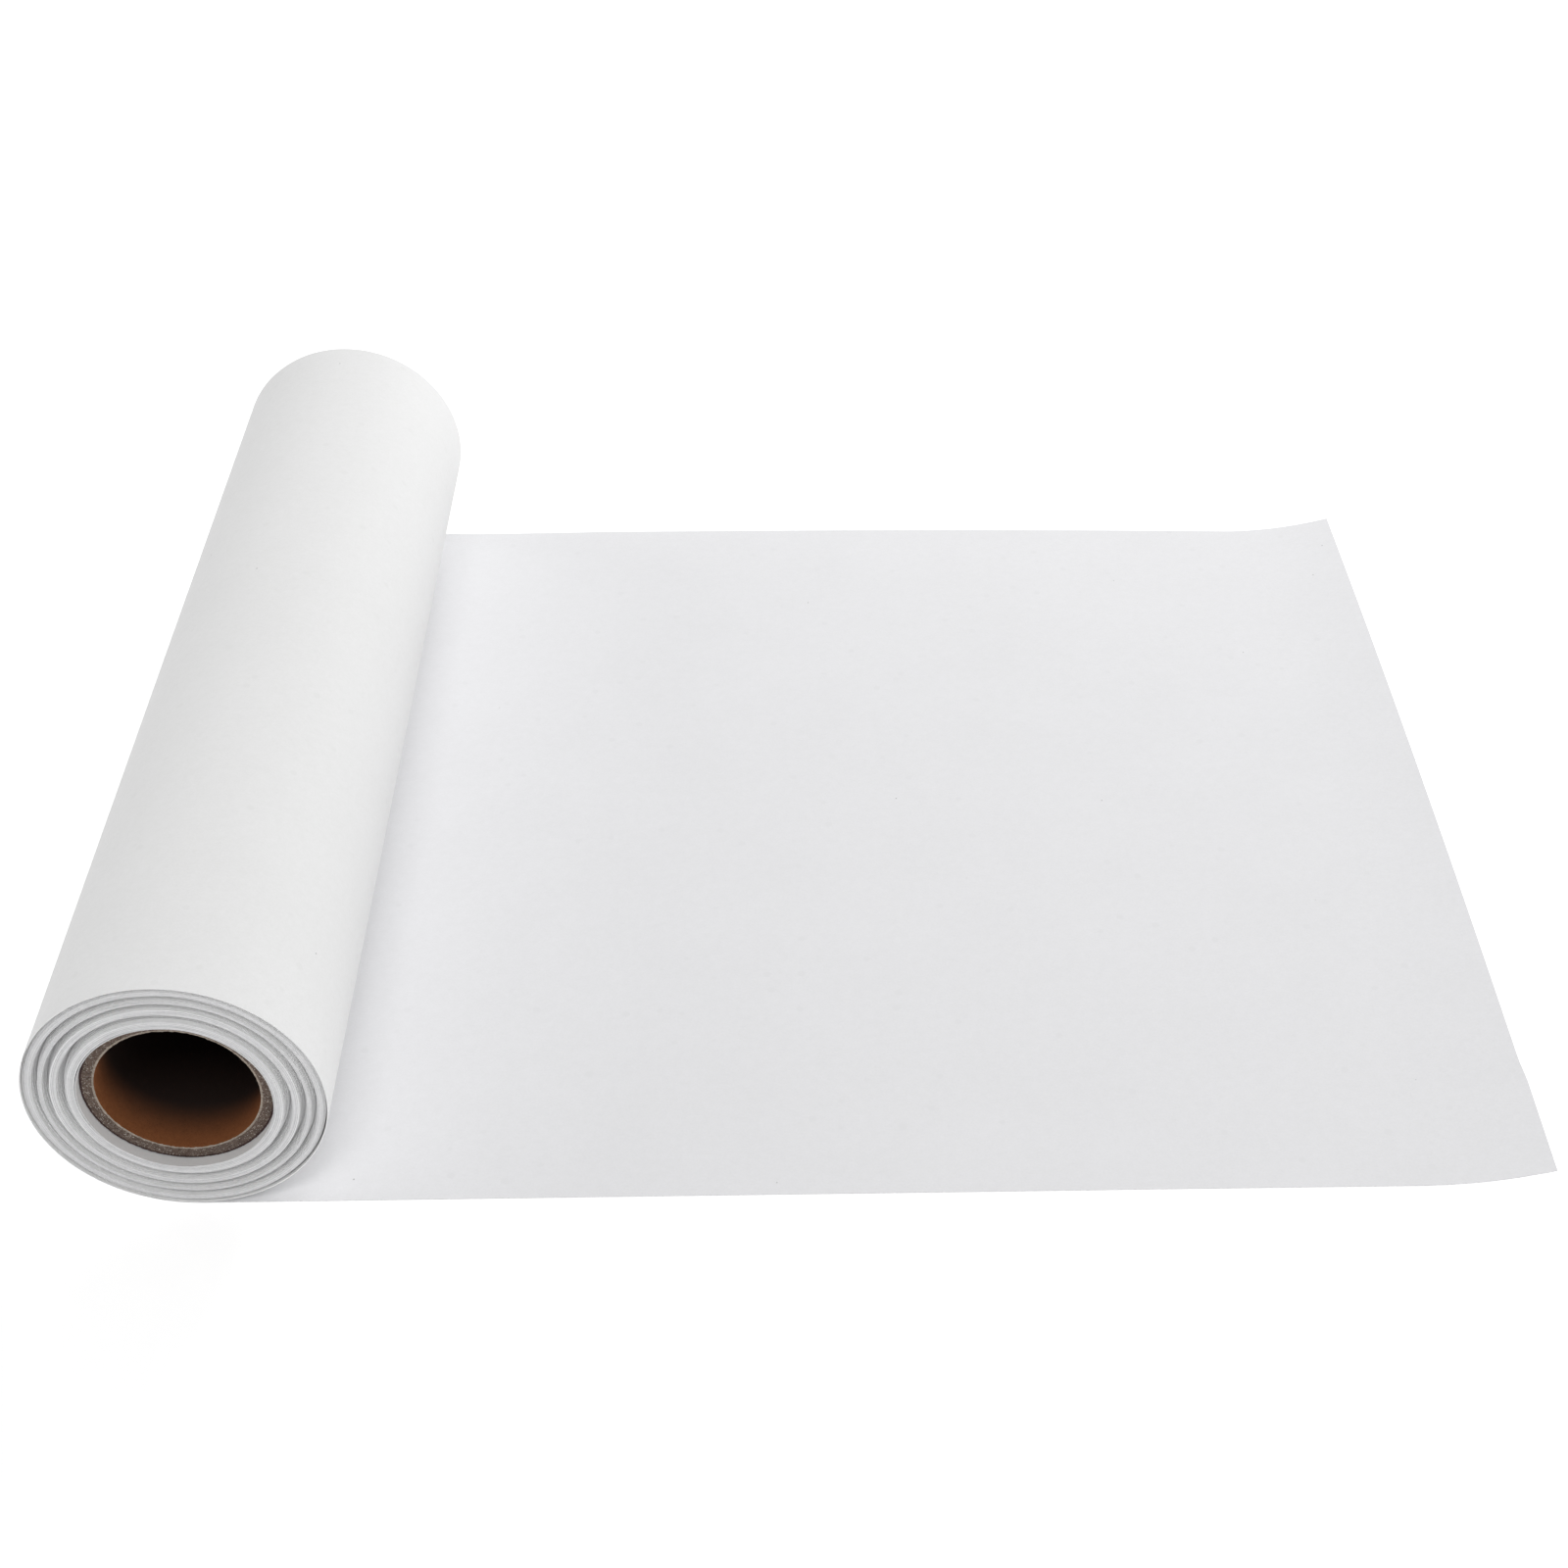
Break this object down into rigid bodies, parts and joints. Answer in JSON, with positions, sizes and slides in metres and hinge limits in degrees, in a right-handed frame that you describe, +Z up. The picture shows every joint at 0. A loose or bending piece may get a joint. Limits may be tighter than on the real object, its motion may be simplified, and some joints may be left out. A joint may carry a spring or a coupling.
{
  "type": "backdrop paper roll",
  "caption": "Roll of plain white backdrop paper on a board core, lying on its side with its outer end laid out flat and curling up at the free edge.",
  "frame": {"origin": "centre of the core's bore, halfway along the roll; the table is 35 mm below it", "axes": "+X the way the paper is laid out, +Y along the roll's axis, +Z up"},
  "size_m": [0.3632, 0.3041, 0.07],
  "materials": {
    "paper": "matt uncoated white paper",
    "core_board": "grey-brown recycled board",
    "tape": "thin gummed paper tape"
  },
  "bodies": {
    "laid_web": {"laid_stretch": "paper", "free_end": "paper"},
    "unwinding_turn": {"outer_turn": "paper"},
    "roll": {"core_inner_ply": "core_board", "core_board_ply_1": "core_board", "core_board_ply_2": "core_board", "core_board_ply_3": "core_board", "core_outer_ply": "core_board", "start_tape": "tape", "first_turn": "paper", "wound_turns_1": "paper", "wound_turns_2": "paper", "wound_turns_3": "paper", "wound_turns_4": "paper"}
  },
  "joints": [
    {"name": "roll_travel", "type": "slide", "parent": "laid_web", "child": "unwinding_turn", "axis": [1, 0, 0], "range_m": [0, 0.28], "deforming": ["laid_stretch"]},
    {"name": "roll_spin", "type": "hinge", "parent": "unwinding_turn", "child": "roll", "pos_m": [0, 0, 0], "axis": [0, 1, 0], "continuous": true}
  ],
  "couplings": [
    {"joint": "roll_spin", "follows": "roll_travel", "rad_per_m": 28.571}
  ]
}
